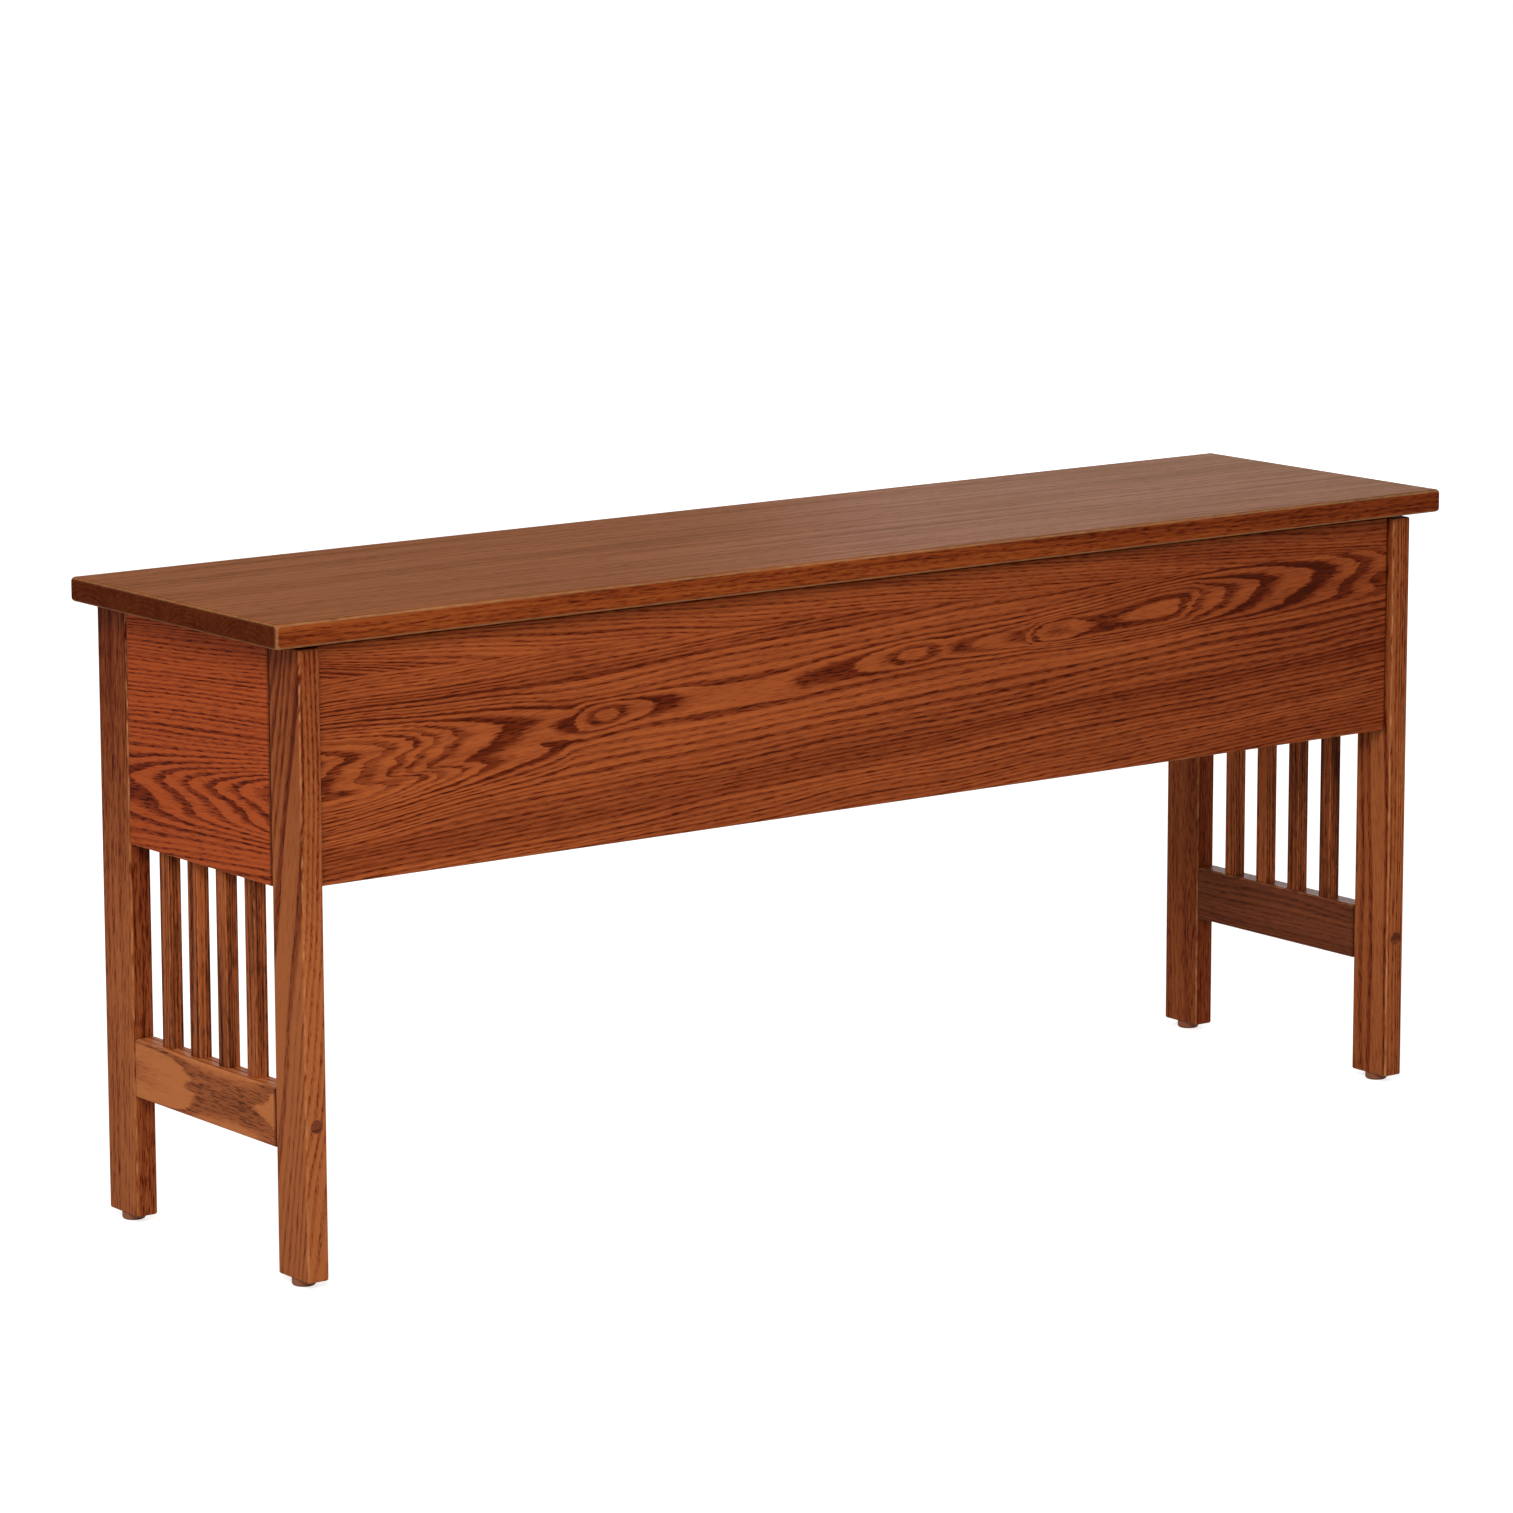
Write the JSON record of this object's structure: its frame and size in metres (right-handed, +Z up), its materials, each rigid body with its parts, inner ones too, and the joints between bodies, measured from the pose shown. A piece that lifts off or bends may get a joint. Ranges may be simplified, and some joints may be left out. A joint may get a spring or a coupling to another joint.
{
  "type": "storage bench",
  "caption": "Long narrow oak bench in the mission style: flat-board legs, deep panels that form a storage box under a rear-hinged lid, and a slatted grille with a low rail at each end.",
  "frame": {"origin": "on the floor, in the middle of the bench's footprint", "axes": "+X along the bench to the right as seen from the front, +Y from front to back, +Z up"},
  "size_m": [1.07, 0.2748, 0.47],
  "materials": {
    "oak_frame": "red-brown stained red oak under satin lacquer",
    "oak_lid": "red-brown stained red oak under satin lacquer, worn a little lighter",
    "oak_inside": "thinly stained oak, sanded",
    "oak_plug": "darker stained oak end grain",
    "plywood": "sanded veneer plywood, clear sealed",
    "dowel_wood": "bare hardwood dowel",
    "hinge_brass": "satin brass",
    "fastener_steel": "zinc-plated steel",
    "bumper_rubber": "soft brown rubber",
    "glide_plastic": "brown moulded polyethylene"
  },
  "bodies": {
    "frame": {"back_panel": "oak_frame", "box_floor": "plywood", "cleat_screws": "fastener_steel", "corner_block_back_left": "oak_inside", "corner_block_back_right": "oak_inside", "corner_block_front_left": "oak_inside", "corner_block_front_right": "oak_inside", "corner_block_screws": "fastener_steel", "floor_cleat_back": "oak_inside", "floor_cleat_front": "oak_inside", "floor_cleat_left": "oak_inside", "floor_cleat_right": "oak_inside", "front_panel": "oak_frame", "glide_back_left": "glide_plastic", "glide_back_right": "glide_plastic", "glide_front_left": "glide_plastic", "glide_front_right": "glide_plastic", "glide_nails": "fastener_steel", "hinge_frame_screws": "hinge_brass", "hinge_left_frame_leaf": "hinge_brass", "hinge_left_pin": "hinge_brass", "hinge_middle_frame_leaf": "hinge_brass", "hinge_middle_pin": "hinge_brass", "hinge_right_frame_leaf": "hinge_brass", "hinge_right_pin": "hinge_brass", "leg_back_left": "oak_frame", "leg_back_right": "oak_frame", "leg_front_left": "oak_frame", "leg_front_right": "oak_frame", "lid_bumpers": "bumper_rubber", "lower_rail_left": "oak_frame", "lower_rail_right": "oak_frame", "panel_dowels": "dowel_wood", "plug_back_left": "oak_plug", "plug_back_right": "oak_plug", "plug_front_left": "oak_plug", "plug_front_right": "oak_plug", "rail_screws": "fastener_steel", "side_panel_dowels": "dowel_wood", "side_panel_left": "oak_frame", "side_panel_right": "oak_frame", "slat_left_1": "oak_frame", "slat_left_2": "oak_frame", "slat_left_3": "oak_frame", "slat_left_4": "oak_frame", "slat_right_1": "oak_frame", "slat_right_2": "oak_frame", "slat_right_3": "oak_frame", "slat_right_4": "oak_frame"},
    "lid": {"batten_screws": "fastener_steel", "hinge_left_lid_leaf": "hinge_brass", "hinge_lid_screws": "hinge_brass", "hinge_middle_lid_leaf": "hinge_brass", "hinge_right_lid_leaf": "hinge_brass", "lid": "oak_lid", "lid_batten_left": "oak_inside", "lid_batten_right": "oak_inside"}
  },
  "joints": [
    {"name": "lid_hinge", "type": "hinge", "parent": "frame", "child": "lid", "pos_m": [0, 0.1331, 0.45], "axis": [-1, 0, 0], "range_deg": [0, 95]}
  ]
}
